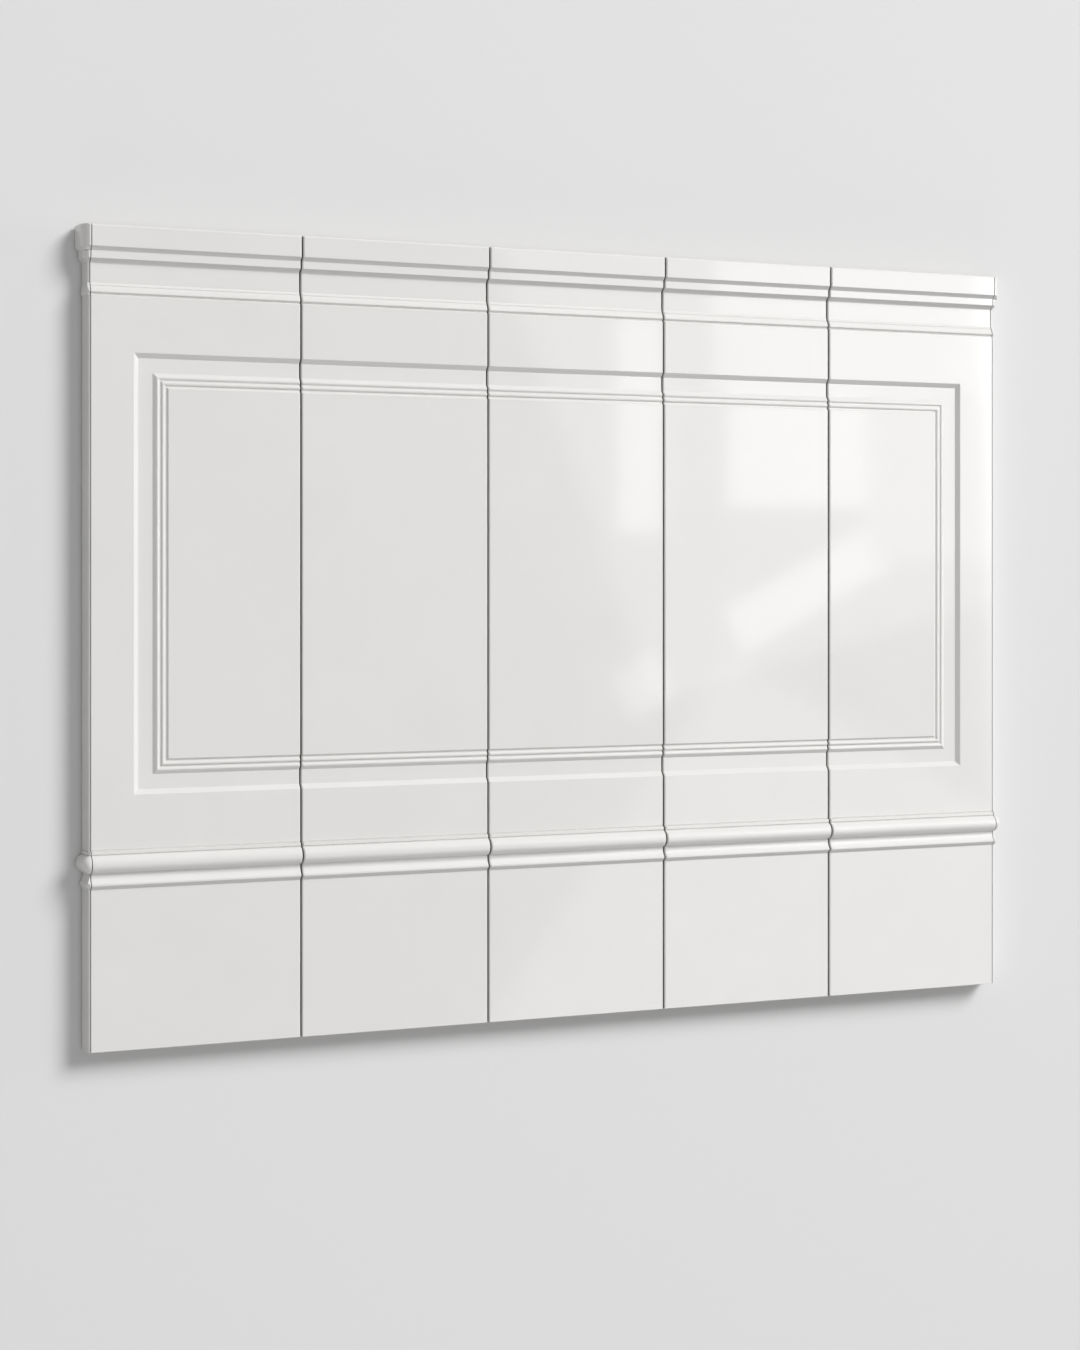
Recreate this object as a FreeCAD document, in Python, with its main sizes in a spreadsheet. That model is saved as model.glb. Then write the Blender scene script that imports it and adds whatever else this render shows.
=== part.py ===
"""Wainscot panel of five profiled boards with a moulded return at each end, lying on its back.

X runs along the panel's width, Y up the panel as it hangs and Z out of its face. Lengths are in millimetres.
"""
import FreeCAD, Part
import math
import os
from collections import namedtuple
from types import SimpleNamespace

import Sketcher
from FreeCAD import Vector

# The driving dimensions, each with its present value.
SIZES = {
    # Overall
    "panel_height": 1000.0,
    "end_board_width": 264.7,
    "inner_board_width": 252.0,
    "board_thickness": 30.0,
    "return_thickness": 5.8,
    # Open joint in the face between neighbours, in front of the tongues that touch, and its arrises
    "joint_width": 2.0,
    "joint_arris": 1.3,
    "return_setback": 1.0,
    "tongue_thickness": 16.0,
    # Heights of the base mouldings, from the floor up
    "dado_height": 196.5,
    "lip_soffit_height": 4.8,
    "lip_height": 2.2,
    "lip_cove_height": 12.5,
    "bead_height": 22.3,
    "bead_quirk_height": 0.9,
    "fillet_height": 4.6,
    "fillet_quirk_height": 1.8,
    # How far the base mouldings stand out of the face
    "lip_projection": 4.8,
    "lip_cove_projection": 0.8,
    "lip_cove_hollow": 1.9,
    "bead_rise": 9.0,
    "bead_quirk_projection": 1.6,
    "fillet_projection": 3.0,
    "fillet_quirk_depth": 0.9,
    # Heights of the crown mouldings, from the top down
    "crown_arris": 2.0,
    "crown_height": 26.5,
    "crown_soffit_height": 4.8,
    "fascia_height": 9.3,
    "fascia_soffit_height": 5.5,
    "frieze_height": 23.8,
    "cushion_height": 3.3,
    "cushion_quirk_height": 0.6,
    "astragal_height": 7.6,
    "quirk_height": 3.7,
    # How far the crown mouldings stand out of the face, or lie behind it
    "crown_projection": 6.2,
    "crown_soffit_hollow": 0.3,
    "fascia_projection": 1.5,
    "fascia_soffit_hollow": 0.9,
    "frieze_depth": 4.7,
    "cushion_depth": 3.1,
    "cushion_swell": 0.3,
    "cushion_quirk_depth": 3.4,
    "astragal_depth": 2.5,
    "astragal_projection": 0.3,
    "astragal_swell": 0.5,
    "quirk_depth": 2.4,
    # Sunk frame round the central field: rails, stiles and its section
    "lower_rail_height": 65.3,
    "upper_rail_height": 68.0,
    "stile_width": 52.7,
    "frame_depth": 4.7,
    "frame_chamfer_width": 6.0,
    "frame_margin_width": 18.0,
    "frame_flank_width": 4.0,
    "frame_shoulder_depth": 1.4,
    "frame_first_bead_width": 4.0,
    "frame_first_bead_rise": 0.9,
    "frame_second_bead_width": 5.2,
    "frame_second_bead_rise": 2.0,
    "frame_groove_width": 1.8,
    "frame_groove_depth": 2.4,
    # How far each moulding stands out of the return's end, how far the end leans out down to the back,
    # and the relief that keeps its back edge off the wall
    "return_lip_projection": 3.0,
    "return_neck_depth": 1.4,
    "return_lip_cove_hollow": 0.9,
    "return_crown_projection": 8.3,
    "return_fascia_projection": 5.0,
    "return_astragal_projection": 1.8,
    "return_cushion_projection": 0.8,
    "return_lean": 2.8,
    "return_relief_height": 4.0,
    "return_relief_depth": 3.0,
    # Rounded front corners of the return: its crown, its fascia, and the rest of its edge
    "return_flat_width": 2.6,
    "crown_round_depth": 16.0,
    "crown_round_swell": 2.3,
    "fascia_round_depth": 11.0,
    "fascia_round_swell": 1.6,
    "edge_flat_width": 1.6,
    "edge_round_depth": 5.0,
    "edge_round_swell": 0.8,
    # How far a cutting outline runs past the stock
    "cut_margin": 5.0,
}


class Length:
    """A length that keeps its expression on the sheet beside its present value."""

    def __init__(self, text, value):
        self.text = text
        self.value = value

    def __add__(self, other):
        return Length(f"({self.text} + {other.text})", self.value + other.value)

    def __sub__(self, other):
        return Length(f"({self.text} - {other.text})", self.value - other.value)

    def __mul__(self, factor):
        return Length(f"({self.text} * {factor})", self.value * factor)

    def __neg__(self):
        return self * -1


# A corner of an outline. With a rise, it is reached by an arc that swells to the left of the way along.
Corner = namedtuple("Corner", "across up rise", defaults=(None,))
# A block of a return between two moulding lines: its place, how far it stands out and how it is rounded.
Block = namedtuple("Block", "name bottom height front end flat depth swell")
ZERO = Length("0 mm", 0.0)
# Rise of a quarter circle's arc over its chord, as a share of the radius
QUARTER_ARC_RISE = 1 - math.sqrt(0.5)


def make_sheet(document):
    """Writes the driving dimensions to the sheet and returns them as lengths."""
    sheet = document.addObject("Spreadsheet::Sheet", "Sizes")
    for row, (name, value) in enumerate(SIZES.items(), start=1):
        sheet.set(f"A{row}", name)
        sheet.set(f"B{row}", str(value))
        sheet.setAlias(f"B{row}", name)
    document.recompute()
    return SimpleNamespace(**{name: Length(f"Sizes.{name} * 1 mm", sheet.get(name)) for name in SIZES})


def new_sketch(body, name, role, offset=ZERO):
    """Starts a sketch on one of the body's origin planes, moved along the plane's normal."""
    sketch = body.newObject("Sketcher::SketchObject", f"{body.Name}_{name}")
    plane = next(item for item in body.Origin.OriginFeatures if item.Role == role)
    sketch.AttachmentSupport = [(plane, "")]
    sketch.MapMode = "FlatFace"
    sketch.setExpression("AttachmentOffset.Base.z", offset.text)
    return sketch


def constrain(sketch, measures):
    """Adds measured constraints that follow the sheet."""
    constraints = [Sketcher.Constraint(kind, *where, length.value) for kind, where, length in measures]
    for index, (_, _, length) in zip(sketch.addConstraint(constraints), measures):
        sketch.setExpression(f"Constraints[{index}]", length.text)


def add_edge(sketch, start, end):
    """Adds the line or arc from one corner to the next, and returns its index and its two point numbers."""
    first = Vector(start.across.value, start.up.value)
    last = Vector(end.across.value, end.up.value)
    if end.rise is None:
        return sketch.addGeometry(Part.LineSegment(first, last)), 1, 2
    chord = last - first
    swell = Vector(-chord.y, chord.x).normalize() * end.rise.value
    index = sketch.addGeometry(Part.Arc(first, first + chord / 2 + swell, last))
    gaps = [sketch.getPoint(index, point).distanceToPoint(first) for point in (1, 2)]
    return (index, 1, 2) if gaps[0] < gaps[1] else (index, 2, 1)


def arc_radius(start, end):
    """Radius of the arc between two corners, from its chord and its rise."""
    across = end.across - start.across
    up = end.up - start.up
    rise = end.rise
    size = abs(rise.value)
    value = (across.value ** 2 + up.value ** 2) / (8 * size) + size / 2
    text = f"(({across.text})^2 + ({up.text})^2) / (8 * abs({rise.text})) + abs({rise.text}) / 2"
    return Length(text, value)


def draw(sketch, corners, closed=True):
    """Draws an outline through the corners, each of them placed by the sheet."""
    starts = corners if closed else corners[:-1]
    ends = corners[1:] + corners[:1] if closed else corners[1:]
    edges = [add_edge(sketch, start, end) for start, end in zip(starts, ends)]
    following = edges[1:] + edges[:1] if closed else edges[1:]
    joins = [(index, tail, later, head) for (index, _, tail), (later, head, _) in zip(edges, following)]
    sketch.addConstraint([Sketcher.Constraint("Coincident", *join) for join in joins])
    measures = []
    for (index, head, _), start, end in zip(edges, starts, ends):
        measures.append(("DistanceX", (-1, 1, index, head), start.across))
        measures.append(("DistanceY", (-1, 1, index, head), start.up))
        if end.rise is not None:
            measures.append(("Radius", (index,), arc_radius(start, end)))
    if not closed:
        last, _, tail = edges[-1]
        measures.append(("DistanceX", (-1, 1, last, tail), ends[-1].across))
        measures.append(("DistanceY", (-1, 1, last, tail), ends[-1].up))
    constrain(sketch, measures)


def moulding_heights(size):
    """Levels up the panel at which one moulding gives way to the next."""
    level = SimpleNamespace()
    level.lip_soffit = size.dado_height
    level.lip = level.lip_soffit + size.lip_soffit_height
    level.lip_cove = level.lip + size.lip_height
    level.bead = level.lip_cove + size.lip_cove_height
    level.fillet = level.bead + size.bead_height
    level.fillet_quirk = level.fillet + size.fillet_height
    level.lower_rail = level.fillet_quirk + size.fillet_quirk_height
    level.frame_bottom = level.lower_rail + size.lower_rail_height
    level.crown = size.panel_height - size.crown_height
    level.crown_soffit = level.crown - size.crown_soffit_height
    level.fascia = level.crown_soffit - size.fascia_height
    level.fascia_soffit = level.fascia - size.fascia_soffit_height
    level.frieze = level.fascia_soffit - size.frieze_height
    level.cushion = level.frieze - size.cushion_height
    level.cushion_quirk = level.cushion - size.cushion_quirk_height
    level.astragal = level.cushion_quirk - size.astragal_height
    level.quirk = level.astragal - size.quirk_height
    level.frame_top = level.quirk - size.upper_rail_height
    return level


def base_section(size):
    """Corners of the boards' upright section, from the floor up the moulded face to the lower rail."""
    level = moulding_heights(size)
    face = size.board_thickness
    return [
        Corner(ZERO, face),
        Corner(level.lip_soffit, face),
        Corner(level.lip, face + size.lip_projection),
        Corner(level.lip_cove, face + size.lip_projection),
        Corner(level.bead, face + size.lip_cove_projection, -size.lip_cove_hollow),
        Corner(level.fillet, face + size.bead_quirk_projection, size.bead_rise),
        Corner(level.fillet + size.bead_quirk_height, face + size.fillet_projection),
        Corner(level.fillet_quirk, face + size.fillet_projection),
        Corner(level.fillet_quirk + size.fillet_quirk_height * 0.4, face - size.fillet_quirk_depth),
        Corner(level.lower_rail, face),
    ]


def crown_section(size):
    """Corners of the boards' upright section, from the upper rail to the top."""
    level = moulding_heights(size)
    face = size.board_thickness
    crown = face + size.crown_projection
    return [
        Corner(level.quirk, face),
        Corner(level.quirk + size.quirk_height * 0.4, face - size.quirk_depth),
        Corner(level.astragal, face + size.astragal_projection),
        Corner(level.cushion_quirk, face - size.astragal_depth, size.astragal_swell),
        Corner(level.cushion_quirk + size.cushion_quirk_height * 0.5, face - size.cushion_quirk_depth),
        Corner(level.cushion, face - size.cushion_depth),
        Corner(level.frieze, face - size.frieze_depth, size.cushion_swell),
        Corner(level.fascia_soffit, face - size.frieze_depth),
        Corner(level.fascia, face + size.fascia_projection, -size.fascia_soffit_hollow),
        Corner(level.crown_soffit, face + size.fascia_projection),
        Corner(level.crown, crown, -size.crown_soffit_hollow),
        Corner(size.panel_height - size.crown_arris, crown),
        Corner(size.panel_height, crown - size.crown_arris, size.crown_arris * QUARTER_ARC_RISE),
    ]


def over_neck(size, projection):
    """How far a moulding stands out of a return's end, to clear the neck as it clears the cove in front."""
    return projection - size.lip_cove_projection - size.return_neck_depth


def return_section(size, side, inset=ZERO):
    """Corners of the moulded edge of a return, seen from the front, from the floor up to the top."""
    level = moulding_heights(size)
    end = size.return_thickness - inset
    quirk = over_neck(size, size.bead_quirk_projection)
    fillet = over_neck(size, size.fillet_projection)

    def corner(up, out, rise=None):
        return Corner((end + out) * side, up, None if rise is None else rise * side)

    return [
        corner(ZERO, ZERO),
        corner(level.lip_soffit, ZERO),
        corner(level.lip, size.return_lip_projection),
        corner(level.lip_cove, size.return_lip_projection),
        corner(level.bead, -size.return_neck_depth, size.return_lip_cove_hollow),
        corner(level.fillet, quirk, -size.bead_rise),
        corner(level.fillet + size.bead_quirk_height, fillet),
        corner(level.fillet_quirk, fillet),
        corner(level.fillet_quirk, ZERO),
        corner(level.quirk, ZERO),
        corner(level.astragal, size.return_astragal_projection),
        corner(level.cushion, size.return_cushion_projection),
        corner(level.frieze, ZERO),
        corner(level.fascia_soffit, ZERO),
        corner(level.fascia, size.return_fascia_projection, size.fascia_soffit_hollow),
        corner(level.crown_soffit, size.return_fascia_projection),
        corner(level.crown, size.return_crown_projection, size.crown_soffit_hollow),
        corner(size.panel_height, size.return_crown_projection),
    ]


def frame_section(size, edge, way):
    """Corners of the sunk frame's section, from its outer edge inwards: chamfer, margin and two beads."""
    face = size.board_thickness
    chamfer = size.frame_chamfer_width
    margin = chamfer + size.frame_margin_width
    flank = margin + size.frame_flank_width
    first_bead = flank + size.frame_first_bead_width
    first_groove = first_bead + size.frame_groove_width
    second_bead = first_groove + size.frame_second_bead_width
    second_groove = second_bead + size.frame_groove_width
    groove = face - size.frame_groove_depth

    def corner(inwards, up, rise=None):
        return Corner(edge + inwards * way, up, rise)

    return [
        corner(ZERO, face),
        corner(chamfer, face - size.frame_depth),
        corner(margin, face - size.frame_depth),
        corner(flank, face - size.frame_shoulder_depth),
        corner(first_bead, groove, size.frame_first_bead_rise * way),
        corner(first_groove, groove),
        corner(second_bead, groove, size.frame_second_bead_rise * way),
        corner(second_groove, groove),
        corner(second_groove + size.frame_groove_width, face),
    ]


def backwards(corners):
    """The same corners in the other order, with each arc still swelling the same way."""
    rises = [corner.rise for corner in corners[1:]] + [None]
    turned = [Corner(corner.across, corner.up, rise and -rise) for corner, rise in zip(corners, rises)]
    return turned[::-1]


def board_section(size, framed, drop=ZERO):
    """Closed upright section of a board, plain or across the sunk frame, its face lowered by the drop."""
    level = moulding_heights(size)
    corners = base_section(size)
    if framed:
        corners += frame_section(size, level.frame_bottom, 1)
        corners += backwards(frame_section(size, level.frame_top, -1))
    corners += crown_section(size)
    lowered = [Corner(corner.across, corner.up - drop, corner.rise) for corner in corners]
    return lowered + [Corner(size.panel_height, ZERO), Corner(ZERO, ZERO)]


def new_body(document, label, place, size):
    """Starts a piece at its place along the panel, with the panel's height centred on the origin."""
    body = document.addObject("PartDesign::Body", label)
    body.Label = label
    body.setExpression("Placement.Base.x", place.text)
    body.setExpression("Placement.Base.y", (size.panel_height * -0.5).text)
    return body


def add_feature(body, kind, name, profile, **settings):
    """Adds a feature made from a sketch to the body."""
    feature = body.newObject(f"PartDesign::{kind}", f"{body.Name}_{name}")
    feature.Profile = (profile, [""])
    for setting, value in settings.items():
        if isinstance(value, Length):
            feature.setExpression(setting, value.text)
        else:
            setattr(feature, setting, value)
    body.Document.recompute()
    return feature


def add_tongue(body, left, right, size):
    """Adds the plain back layer, as wide as the piece, whose edges touch the neighbours."""
    sketch = new_sketch(body, "tongue_outline", "XY_Plane")
    corners = [
        Corner(left, ZERO),
        Corner(right, ZERO),
        Corner(right, size.panel_height),
        Corner(left, size.panel_height),
    ]
    draw(sketch, corners)
    add_feature(body, "Pad", "tongue", sketch, Length=size.tongue_thickness)


def add_board_face(body, left, right, framed, size):
    """Adds the moulded layer of a board from one place across its width to another."""
    sketch = new_sketch(body, "face_section", "YZ_Plane", left)
    draw(sketch, board_section(size, framed))
    add_feature(body, "Pad", "face", sketch, Length=right - left)


def joint_face(width, size):
    """How far from a board's middle its moulded layer ends at a joint, and how far its arris starts."""
    tip = (width - size.joint_width) * 0.5
    return tip, tip - size.joint_arris


def add_joint_arris(body, width, side, size):
    """Adds the last strip of a board's moulded layer, whose front falls away to the joint."""
    tip, root = joint_face(width, size)
    name = "left" if side < 0 else "right"
    start = new_sketch(body, f"{name}_arris_root", "YZ_Plane", root * side)
    draw(start, board_section(size, True))
    end = new_sketch(body, f"{name}_arris_tip", "YZ_Plane", tip * side)
    draw(end, board_section(size, True, size.joint_arris))
    body.Document.recompute()
    add_feature(body, "AdditiveLoft", f"{name}_arris", start, Sections=[(end, [""])], Ruled=True)


def make_inner_board(document, label, place, size):
    """Makes a board that carries the frame's two level legs from joint to joint."""
    body = new_body(document, label, place, size)
    width = size.inner_board_width
    _, root = joint_face(width, size)
    add_tongue(body, width * -0.5, width * 0.5, size)
    add_board_face(body, -root, root, True, size)
    add_joint_arris(body, width, -1, size)
    add_joint_arris(body, width, 1, size)
    return body


def make_end_board(document, label, place, side, size):
    """Makes a board that carries the frame's upright leg, mitred into the two level legs."""
    body = new_body(document, label, place, size)
    width = size.end_board_width
    _, root = joint_face(width, size)
    ends = (width * -0.5, root) if side < 0 else (-root, width * 0.5)
    add_tongue(body, width * -0.5, width * 0.5, size)
    add_board_face(body, *ends, False, size)
    level = moulding_heights(size)
    inner_end = (width * 0.5 + size.cut_margin) * -side
    stile_edge = (width * 0.5 - size.stile_width) * side
    path = new_sketch(body, "frame_path", "XY_Plane", size.board_thickness)
    corners = [
        Corner(inner_end, level.frame_bottom),
        Corner(stile_edge, level.frame_bottom),
        Corner(stile_edge, level.frame_top),
        Corner(inner_end, level.frame_top),
    ]
    draw(path, corners, closed=False)
    sketch = new_sketch(body, "frame_section", "YZ_Plane", inner_end)
    section = frame_section(size, level.frame_bottom, 1)
    above = size.board_thickness + size.cut_margin
    draw(sketch, section + [Corner(section[-1].across, above), Corner(section[0].across, above)])
    document.recompute()
    add_feature(body, "SubtractivePipe", "frame", sketch, Spine=(path, [""]), Transition="Right corner")
    add_joint_arris(body, width, -side, size)
    return body


def lean_inwards(size, height):
    """How far the leaning end of a return has come in at a height above its back."""
    text = f"(({size.return_lean.text}) * ({height.text}) / ({size.board_thickness.text}))"
    return Length(text, size.return_lean.value * height.value / size.board_thickness.value)


def round_corner(body, block, side, size):
    """Rounds the front corner of one of a return's blocks, as seen from above, over the block's height."""
    front = size.board_thickness + block.front
    low = front - block.depth
    end = size.return_thickness + block.end - lean_inwards(size, low)
    far = end + size.cut_margin
    sketch = new_sketch(body, f"{block.name}_round_outline", "XZ_Plane", -block.bottom)
    corners = [
        Corner(block.flat * side, front),
        Corner(end * side, low, block.swell * side),
        Corner(far * side, low),
        Corner(far * side, front + size.cut_margin),
        Corner(block.flat * side, front + size.cut_margin),
    ]
    draw(sketch, corners)
    add_feature(body, "Pocket", f"{block.name}_round", sketch, Length=block.height)


def turn_bead(body, side, size):
    """Turns the bead round a return's front corner, about an axis up the panel at the back of the bead."""
    level = moulding_heights(size)
    up = size.board_thickness + size.lip_cove_projection
    out = size.return_thickness - size.return_neck_depth - lean_inwards(size, up)
    far = out + size.bead_height
    corner = new_sketch(body, "bead_corner_outline", "XZ_Plane", -level.bead)
    corners = [
        Corner(out * side, up),
        Corner(far * side, up),
        Corner(far * side, up + size.bead_height),
        Corner(out * side, up + size.bead_height),
    ]
    draw(corner, corners)
    add_feature(body, "Pocket", "bead_corner", corner, Length=size.bead_height)
    section = new_sketch(body, "bead_section", "YZ_Plane", out * side)
    quirk = size.board_thickness + size.bead_quirk_projection
    corners = [Corner(level.bead, up), Corner(level.fillet, quirk, size.bead_rise), Corner(level.fillet, up)]
    draw(section, corners)
    body.Document.recompute()
    add_feature(body, "Revolution", "bead_turn", section, ReferenceAxis=(section, ["Edge3"]),
                Angle=90.0, Reversed=side > 0)


def rounded_blocks(size):
    """The blocks of a return whose front corners are rounded."""
    level = moulding_heights(size)
    fascia_height = size.fascia_height + size.fascia_soffit_height
    crown_height = size.crown_height + size.crown_soffit_height
    plain = (size.edge_flat_width, size.edge_round_depth, size.edge_round_swell)
    fascia = (size.return_flat_width, size.fascia_round_depth, size.fascia_round_swell)
    crown = (size.return_flat_width, size.crown_round_depth, size.crown_round_swell)
    return [
        Block("dado", ZERO, size.dado_height, ZERO, ZERO, *plain),
        Block("lip", level.lip_soffit, level.bead - level.lip_soffit,
              size.lip_projection, size.return_lip_projection, *plain),
        Block("fillet", level.fillet, size.fillet_height,
              size.fillet_projection, over_neck(size, size.fillet_projection), *plain),
        Block("field", level.lower_rail, level.quirk - level.lower_rail, ZERO, ZERO, *plain),
        Block("astragal", level.quirk, level.frieze - level.quirk,
              size.astragal_projection, size.return_astragal_projection, *plain),
        Block("frieze", level.frieze, size.frieze_height, -size.frieze_depth, ZERO, *plain),
        Block("fascia", level.fascia_soffit, fascia_height,
              size.fascia_projection, size.return_fascia_projection, *fascia),
        Block("crown", level.crown_soffit, crown_height,
              size.crown_projection, size.return_crown_projection, *crown),
    ]


def make_return(document, label, place, side, size):
    """Makes an end strip: the boards' section carried round the corner by a cut along its outer edge."""
    body = new_body(document, label, place, size)
    stock = size.return_thickness + size.return_crown_projection + size.bead_rise
    add_tongue(body, ZERO, stock * side, size)
    section = new_sketch(body, "face_section", "YZ_Plane", size.return_setback * side)
    draw(section, board_section(size, False))
    add_feature(body, "Pad", "face", section, Reversed=side < 0, Length=stock)
    cut = new_sketch(body, "end_outline", "XY_Plane")
    far = (stock + size.cut_margin) * side
    draw(cut, return_section(size, side) + [Corner(far, size.panel_height), Corner(far, ZERO)])
    end = add_feature(body, "Pocket", "end", cut, Type="ThroughAll", UseCustomVector=True)
    end.setExpression("Direction.x", f"({(size.return_lean * -side).text}) / 1 mm")
    end.setExpression("Direction.y", "0")
    end.setExpression("Direction.z", f"({size.board_thickness.text}) / 1 mm")
    document.recompute()
    for block in rounded_blocks(size):
        round_corner(body, block, side, size)
    turn_bead(body, side, size)
    relief = new_sketch(body, "relief_outline", "XY_Plane", size.return_relief_height)
    corners = return_section(size, side, size.return_relief_depth)
    draw(relief, corners + [Corner(far, size.panel_height), Corner(far, ZERO)])
    add_feature(body, "Pocket", "relief", relief, Length=size.return_relief_height)
    return body


def make_panel(document, size):
    """Makes every piece at its place, from the left end to the right."""
    inner = size.inner_board_width
    end_centre = inner * 1.5 + size.end_board_width * 0.5
    end_joint = inner * 1.5 + size.end_board_width
    pieces = [
        make_return(document, "left_return", -end_joint, -1, size),
        make_end_board(document, "left_end_board", -end_centre, -1, size),
    ]
    for label, step in (("inner_board_left", -1), ("inner_board_middle", 0), ("inner_board_right", 1)):
        pieces.append(make_inner_board(document, label, inner * step, size))
    pieces.append(make_end_board(document, "right_end_board", end_centre, 1, size))
    pieces.append(make_return(document, "right_return", end_joint, 1, size))
    document.recompute()
    return pieces


def check(document, pieces):
    """Stops if any object failed to compute or any piece is not one valid solid."""
    for item in document.Objects:
        if {"Invalid", "Error"} & set(item.State):
            raise RuntimeError(f"{item.Name} did not compute: {item.State}")
    for piece in pieces:
        if piece.Shape.isNull() or not piece.Shape.isValid() or len(piece.Shape.Solids) != 1:
            raise RuntimeError(f"{piece.Label} is not one valid solid")


def export(pieces):
    """Writes each piece to its own file."""
    os.makedirs("parts", exist_ok=True)
    for piece in pieces:
        piece.Shape.exportStep(f"parts/{piece.Label}.step")


panel = FreeCAD.newDocument("wainscot_panel")
boards = make_panel(panel, make_sheet(panel))
check(panel, boards)
export(boards)
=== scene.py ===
"""White gloss wainscot panel lying on its back on a pale floor, seen from above."""
import math

import bpy
from mathutils import Matrix, Vector

for name in ("Cube", "Camera", "Light"):
    if name in bpy.data.objects:
        bpy.data.objects.remove(bpy.data.objects[name])
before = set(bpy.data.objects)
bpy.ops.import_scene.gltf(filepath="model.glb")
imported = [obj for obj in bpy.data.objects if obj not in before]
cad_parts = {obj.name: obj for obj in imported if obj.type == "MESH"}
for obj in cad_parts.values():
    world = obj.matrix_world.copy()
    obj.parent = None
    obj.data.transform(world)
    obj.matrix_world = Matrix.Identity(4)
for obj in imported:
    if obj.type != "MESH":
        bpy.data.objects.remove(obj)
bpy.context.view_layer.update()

# Camera, in metres, in pixels of a frame 1080 wide and 1350 high, and in degrees.
FRAME_HEIGHT = 1350
CAMERA_PLACE = Vector((-1.296, 0.068, 2.922))
CAMERA_YAW = 23.25
FOCAL_LENGTH = 2417.6
PRINCIPAL_ROW = 582.2
SENSOR = 36.0

# Lacquer, and unlacquered fibreboard whose darker grey also paints shade in the joints and along the
# back. A depth is the share of a colour that is left where its pattern is darkest.
LACQUER_COLOUR = (0.818, 0.808, 0.793)
LACQUER_ROUGHNESS = (0.30, 0.40)
LACQUER_SPECULAR = 0.15
COAT_WEIGHT = 0.9
COAT_ROUGHNESS = 0.06
BARE_AND_SHADE_COLOUR = (0.43, 0.405, 0.38)
BARE_ROUGHNESS = 0.8
CLOUD_SCALE = 14
CLOUD_DETAIL = 3
CLOUD_DEPTH = 0.96
FLECK_SCALE = 700
FLECK_DETAIL = 2
FLECK_DEPTH = 0.85
RIPPLE_SCALE = 90
RIPPLE_DETAIL = 2
RIPPLE_STRENGTH = 0.01
RIPPLE_DISTANCE = 0.001

# Where the fibreboard is unlacquered: on faces whose normal lies this much along the axis of the sawn
# ends or of the joints, and below this height over the floor, in metres. Its darker grey paints shade
# in the joints and the contact shadow along the back, and dims the top end where the key lamp lights
# it.
SAWN_LIMIT = 0.99
BACK_HEIGHT = 0.004

# Edges, in metres and degrees. The arris is rounded in the shading and the edge in the mesh.
ARRIS_RADIUS = 0.001
EDGE_WIDTH = 0.00002
EDGE_SEGMENTS = 3
EDGE_ANGLE = 12
WELD_DISTANCE = 0.00001

# Floor
FLOOR_COLOUR = (0.80, 0.80, 0.80)
FLOOR_ROUGHNESS = 0.9
FLOOR_SPECULAR = 0.1
FLOOR_SIZE = 24

# Sockets of a Mix node that take and give colours
MIX_SHARE, MIX_FIRST, MIX_SECOND, MIX_RESULT = 0, 6, 7, 2

# Light: radiance of the world as a light and as the background that the camera and the gloss see,
# and place, width and height in metres and power in watts of each soft lamp.
WORLD_COLOUR = (1, 1, 1)
WORLD_STRENGTH = 0.22
BACKGROUND = 0.55
LAMPS = {
    "key": ((10.6, 10.9, 12.2), (9.5, 9.5), 3340),
    "fill": ((-1.2, -0.6, 6.0), (2.0, 3.5), 53),
    "low": ((10.0, 1.0, 2.2), (3.0, 3.0), 145),
    "bounce": ((-0.5, -8.0, 1.8), (4.0, 3.0), 60),
}
# Lamps that only the gloss mirrors
SHINES = {
    "key shine": ((10.6, 10.9, 12.2), (9.5, 9.5), 1550),
    "low shine": ((10.0, 1.0, 2.2), (3.0, 3.0), 60),
    "seam shine": ((7.0, 0.3, 7.2), (3.0, 2.6), 170),
    "side shine": ((2.25, 0.85, 3.2), (1.9, 1.8), 14),
    "lower shine": ((3.2, -2.4, 5.5), (3.8, 2.6), 42),
}
# Lamps that face straight down and that only the gloss mirrors, each with a turn in degrees
PANES = {
    "pane left": ((1.515, 0.49, 3.0), (0.13, 0.58), 0.7, 0.0),
    "pane right": ((2.0, 0.4375, 3.0), (0.44, 0.325), 1.4, 0.0),
    "pane upper": ((2.2, 0.83, 3.0), (0.93, 0.45), 3.1, 0.0),
    "pane far": ((2.446, 0.365, 3.0), (0.45, 0.47), 0.8, 0.0),
    "streak left": ((1.524, -0.21, 3.0), (0.15, 0.14), 0.14, 29.0),
    "streak right": ((2.03, 0.05, 3.0), (0.52, 0.14), 0.65, 27.6),
}


def make_camera():
    """Puts the camera where its picture of the panel matches the frame."""
    data = bpy.data.cameras.new("camera")
    data.sensor_fit = "VERTICAL"
    data.sensor_height = SENSOR
    data.lens = FOCAL_LENGTH / FRAME_HEIGHT * SENSOR
    data.shift_y = (PRINCIPAL_ROW - FRAME_HEIGHT / 2) / FRAME_HEIGHT
    camera = bpy.data.objects.new("camera", data)
    bpy.context.scene.collection.objects.link(camera)
    yaw = math.radians(CAMERA_YAW)
    right = Vector((math.cos(yaw), 0, math.sin(yaw)))
    up = Vector((0, 1, 0))
    back = right.cross(up)
    turn = Matrix((right, up, back)).transposed().to_4x4()
    camera.matrix_world = Matrix.Translation(CAMERA_PLACE) @ turn
    bpy.context.scene.camera = camera


def add_math(tree, operation, first, second=None):
    """Adds a math node to a tree and returns its result. The second term may be a number."""
    node = tree.nodes.new("ShaderNodeMath")
    node.operation = operation
    tree.links.new(first, node.inputs[0])
    if isinstance(second, float):
        node.inputs[1].default_value = second
    elif second is not None:
        tree.links.new(second, node.inputs[1])
    return node.outputs["Value"]


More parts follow.
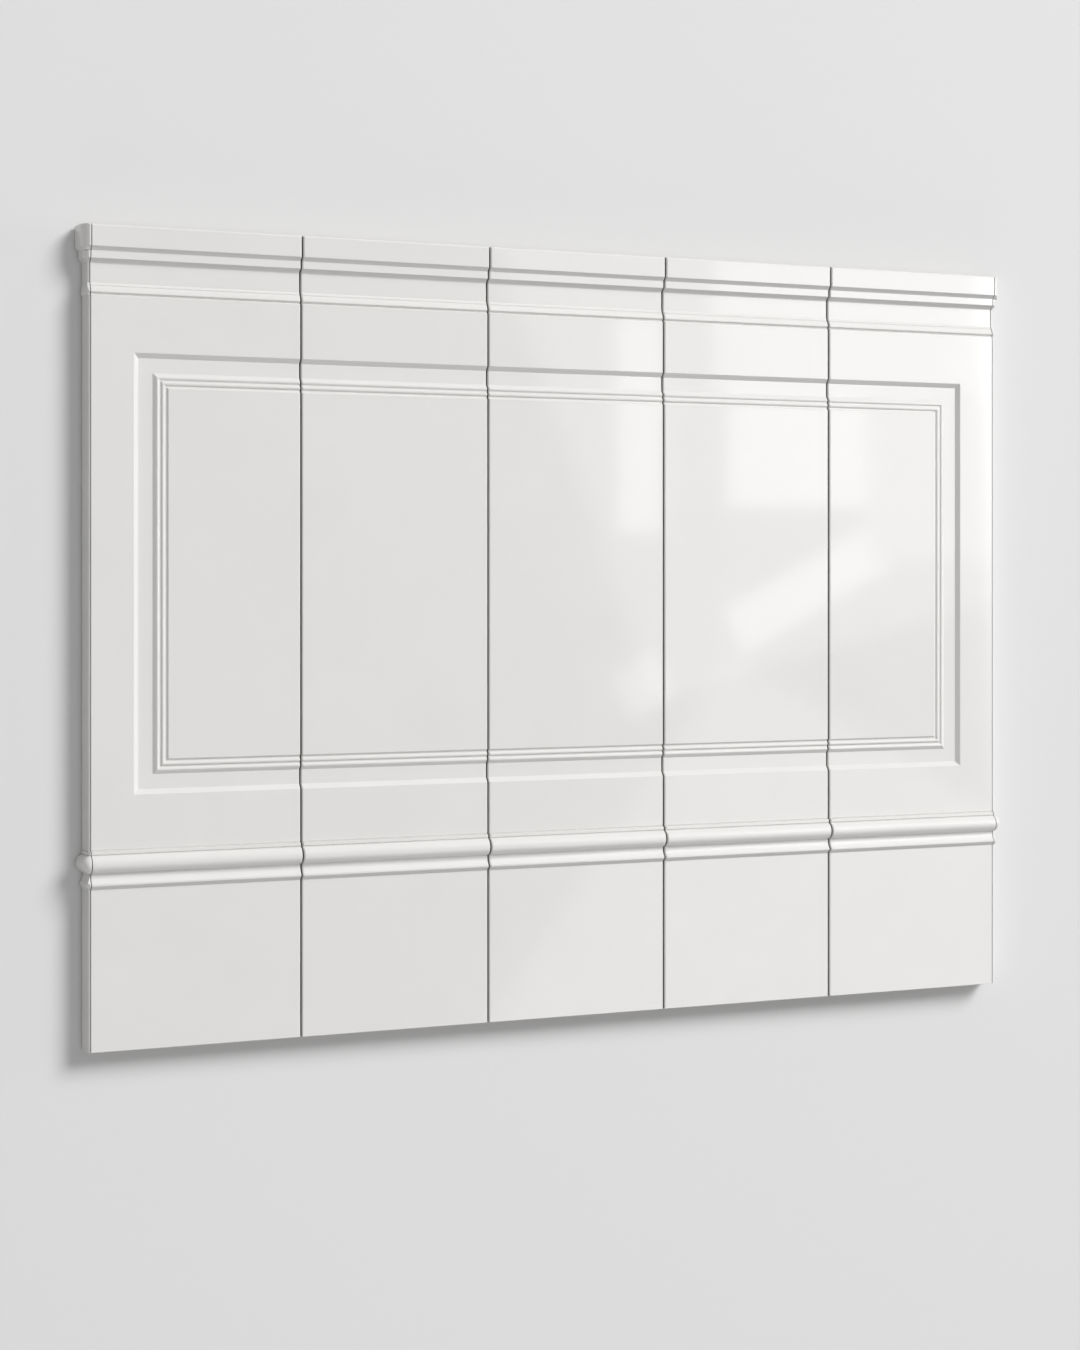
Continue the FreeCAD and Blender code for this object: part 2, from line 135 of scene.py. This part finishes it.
def add_noise(tree, vector, scale, detail):
    """Adds a noise texture and returns its value."""
    noise = tree.nodes.new("ShaderNodeTexNoise")
    noise.inputs["Scale"].default_value = scale
    noise.inputs["Detail"].default_value = detail
    tree.links.new(vector, noise.inputs["Vector"])
    return noise.outputs["Fac"]


def add_blend(tree, share, first, second):
    """Adds a blend of two colours, each a triple or a socket, and returns the result."""
    blend = tree.nodes.new("ShaderNodeMix")
    blend.data_type = "RGBA"
    tree.links.new(share, blend.inputs[MIX_SHARE])
    for socket, colour in ((blend.inputs[MIX_FIRST], first), (blend.inputs[MIX_SECOND], second)):
        if isinstance(colour, tuple):
            socket.default_value = (*colour, 1)
        else:
            tree.links.new(colour, socket)
    return blend.outputs[MIX_RESULT]


def add_range(tree, share, low, high):
    """Adds a range from one number or socket to another and returns the result."""
    spread = tree.nodes.new("ShaderNodeMapRange")
    tree.links.new(share, spread.inputs["Value"])
    for socket, level in ((spread.inputs["To Min"], low), (spread.inputs["To Max"], high)):
        if isinstance(level, float):
            socket.default_value = level
        else:
            tree.links.new(level, socket)
    return spread.outputs["Result"]


def bare_and_shade_share(tree, place, bare_and_shaded_sides):
    """Is 1 on the back, the sawn ends and, if asked, the sides in the joints, and 0 elsewhere; in the
    joints and along the back it marks painted shade.
    """
    geometry = tree.nodes.new("ShaderNodeNewGeometry")
    normal = tree.nodes.new("ShaderNodeSeparateXYZ")
    tree.links.new(geometry.outputs["True Normal"], normal.inputs["Vector"])
    facing = add_math(tree, "ABSOLUTE", normal.outputs["Y"])
    # In the joints the darker grey is painted shade between the boards.
    if bare_and_shaded_sides:
        facing = add_math(tree, "MAXIMUM", facing, add_math(tree, "ABSOLUTE", normal.outputs["X"]))
    sawn = add_math(tree, "GREATER_THAN", facing, SAWN_LIMIT)
    position = tree.nodes.new("ShaderNodeSeparateXYZ")
    tree.links.new(place, position.inputs["Vector"])
    # Along the back the darker grey is a painted contact shadow where the panel meets the floor.
    back = add_math(tree, "LESS_THAN", position.outputs["Z"], BACK_HEIGHT)
    return add_math(tree, "MAXIMUM", sawn, back)


def shade(colour, level):
    """A colour at a share of its strength."""
    return tuple(channel * level for channel in colour)


def make_finish(name, bare_and_shaded_sides):
    """White gloss lacquer with a faint ripple, over unlacquered fibreboard whose grey paints shade in
    the joints and along the back.
    """
    material = bpy.data.materials.new(name)
    material.use_nodes = True
    tree = material.node_tree
    shader = tree.nodes["Principled BSDF"]
    shader.inputs["Specular IOR Level"].default_value = LACQUER_SPECULAR
    shader.inputs["Coat Roughness"].default_value = COAT_ROUGHNESS
    place = tree.nodes.new("ShaderNodeTexCoord").outputs["Object"]
    cloud = add_noise(tree, place, CLOUD_SCALE, CLOUD_DETAIL)
    fleck = add_noise(tree, place, FLECK_SCALE, FLECK_DETAIL)
    ripple = add_noise(tree, place, RIPPLE_SCALE, RIPPLE_DETAIL)
    # Darker grey on the sawn ends, and painted shade in the joints and along the back.
    bare_and_shade = bare_and_shade_share(tree, place, bare_and_shaded_sides)
    lacquer = add_blend(tree, cloud, shade(LACQUER_COLOUR, CLOUD_DEPTH), LACQUER_COLOUR)
    stock_and_shade = add_blend(tree, fleck, shade(BARE_AND_SHADE_COLOUR, FLECK_DEPTH), BARE_AND_SHADE_COLOUR)
    gloss = add_range(tree, cloud, *LACQUER_ROUGHNESS)
    tree.links.new(add_blend(tree, bare_and_shade, lacquer, stock_and_shade), shader.inputs["Base Color"])
    tree.links.new(add_range(tree, bare_and_shade, gloss, BARE_ROUGHNESS), shader.inputs["Roughness"])
    tree.links.new(add_range(tree, bare_and_shade, COAT_WEIGHT, 0.0), shader.inputs["Coat Weight"])
    bump = tree.nodes.new("ShaderNodeBump")
    bump.inputs["Strength"].default_value = RIPPLE_STRENGTH
    bump.inputs["Distance"].default_value = RIPPLE_DISTANCE
    arris = tree.nodes.new("ShaderNodeBevel")
    arris.inputs["Radius"].default_value = ARRIS_RADIUS
    tree.links.new(arris.outputs["Normal"], bump.inputs["Normal"])
    tree.links.new(ripple, bump.inputs["Height"])
    tree.links.new(bump.outputs["Normal"], shader.inputs["Normal"])
    tree.links.new(bump.outputs["Normal"], shader.inputs["Coat Normal"])
    return material


def make_floor():
    """Plain pale floor."""
    material = bpy.data.materials.new("floor")
    material.use_nodes = True
    shader = material.node_tree.nodes["Principled BSDF"]
    shader.inputs["Base Color"].default_value = (*FLOOR_COLOUR, 1)
    shader.inputs["Roughness"].default_value = FLOOR_ROUGHNESS
    shader.inputs["Specular IOR Level"].default_value = FLOOR_SPECULAR
    bpy.ops.mesh.primitive_plane_add(size=FLOOR_SIZE, location=(0, 0, 0))
    floor = bpy.context.object
    floor.name = "floor"
    floor.data.materials.append(material)


def make_area_light(name, place, size, power, mirrored):
    """Adds a soft lamp that faces the panel, to light it or to be mirrored in it."""
    data = bpy.data.lights.new(name, "AREA")
    data.shape = "ELLIPSE" if name.startswith("key") else "RECTANGLE"
    data.size, data.size_y = size
    data.energy = power
    lamp = bpy.data.objects.new(name, data)
    bpy.context.scene.collection.objects.link(lamp)
    lamp.location = place
    lamp.rotation_euler = Vector(place).to_track_quat("Z", "Y").to_euler()
    lamp.visible_camera = False
    lamp.visible_diffuse = not mirrored
    lamp.visible_glossy = mirrored
    return lamp


def make_light():
    """Even world light before a pale background, and soft lamps."""
    world = bpy.data.worlds.new("world")
    world.use_nodes = True
    tree = world.node_tree
    background = tree.nodes["Background"]
    background.inputs["Color"].default_value = (*WORLD_COLOUR, 1)
    rays = tree.nodes.new("ShaderNodeLightPath").outputs
    seen = add_math(tree, "MAXIMUM", rays["Is Camera Ray"], rays["Is Glossy Ray"])
    seen = add_math(tree, "MAXIMUM", seen, rays["Is Transmission Ray"])
    tree.links.new(add_range(tree, seen, WORLD_STRENGTH, BACKGROUND), background.inputs["Strength"])
    bpy.context.scene.world = world
    for lamps, mirrored in ((LAMPS, False), (SHINES, True)):
        for name, (place, size, power) in lamps.items():
            make_area_light(name, place, size, power, mirrored)
    for name, (place, size, power, turn) in PANES.items():
        pane = make_area_light(name, place, size, power, True)
        pane.rotation_euler = (0, 0, math.radians(turn))


def finish_pieces():
    """Gives every piece its finish, and thin strips along its edges that keep flat faces flat."""
    board_finish = make_finish("board_finish", True)
    return_finish = make_finish("return_finish", False)
    for name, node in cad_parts.items():
        node.data.materials.clear()
        node.data.materials.append(return_finish if name.endswith("return") else board_finish)
        weld = node.modifiers.new("weld", "WELD")
        weld.merge_threshold = WELD_DISTANCE
        bevel = node.modifiers.new("edge", "BEVEL")
        bevel.width = EDGE_WIDTH
        bevel.segments = EDGE_SEGMENTS
        bevel.limit_method = "ANGLE"
        bevel.angle_limit = math.radians(EDGE_ANGLE)
        normals = node.modifiers.new("normals", "WEIGHTED_NORMAL")
        normals.mode = "FACE_AREA_WITH_ANGLE"


bpy.context.scene.view_settings.view_transform = "Standard"
make_camera()
make_floor()
make_light()
finish_pieces()
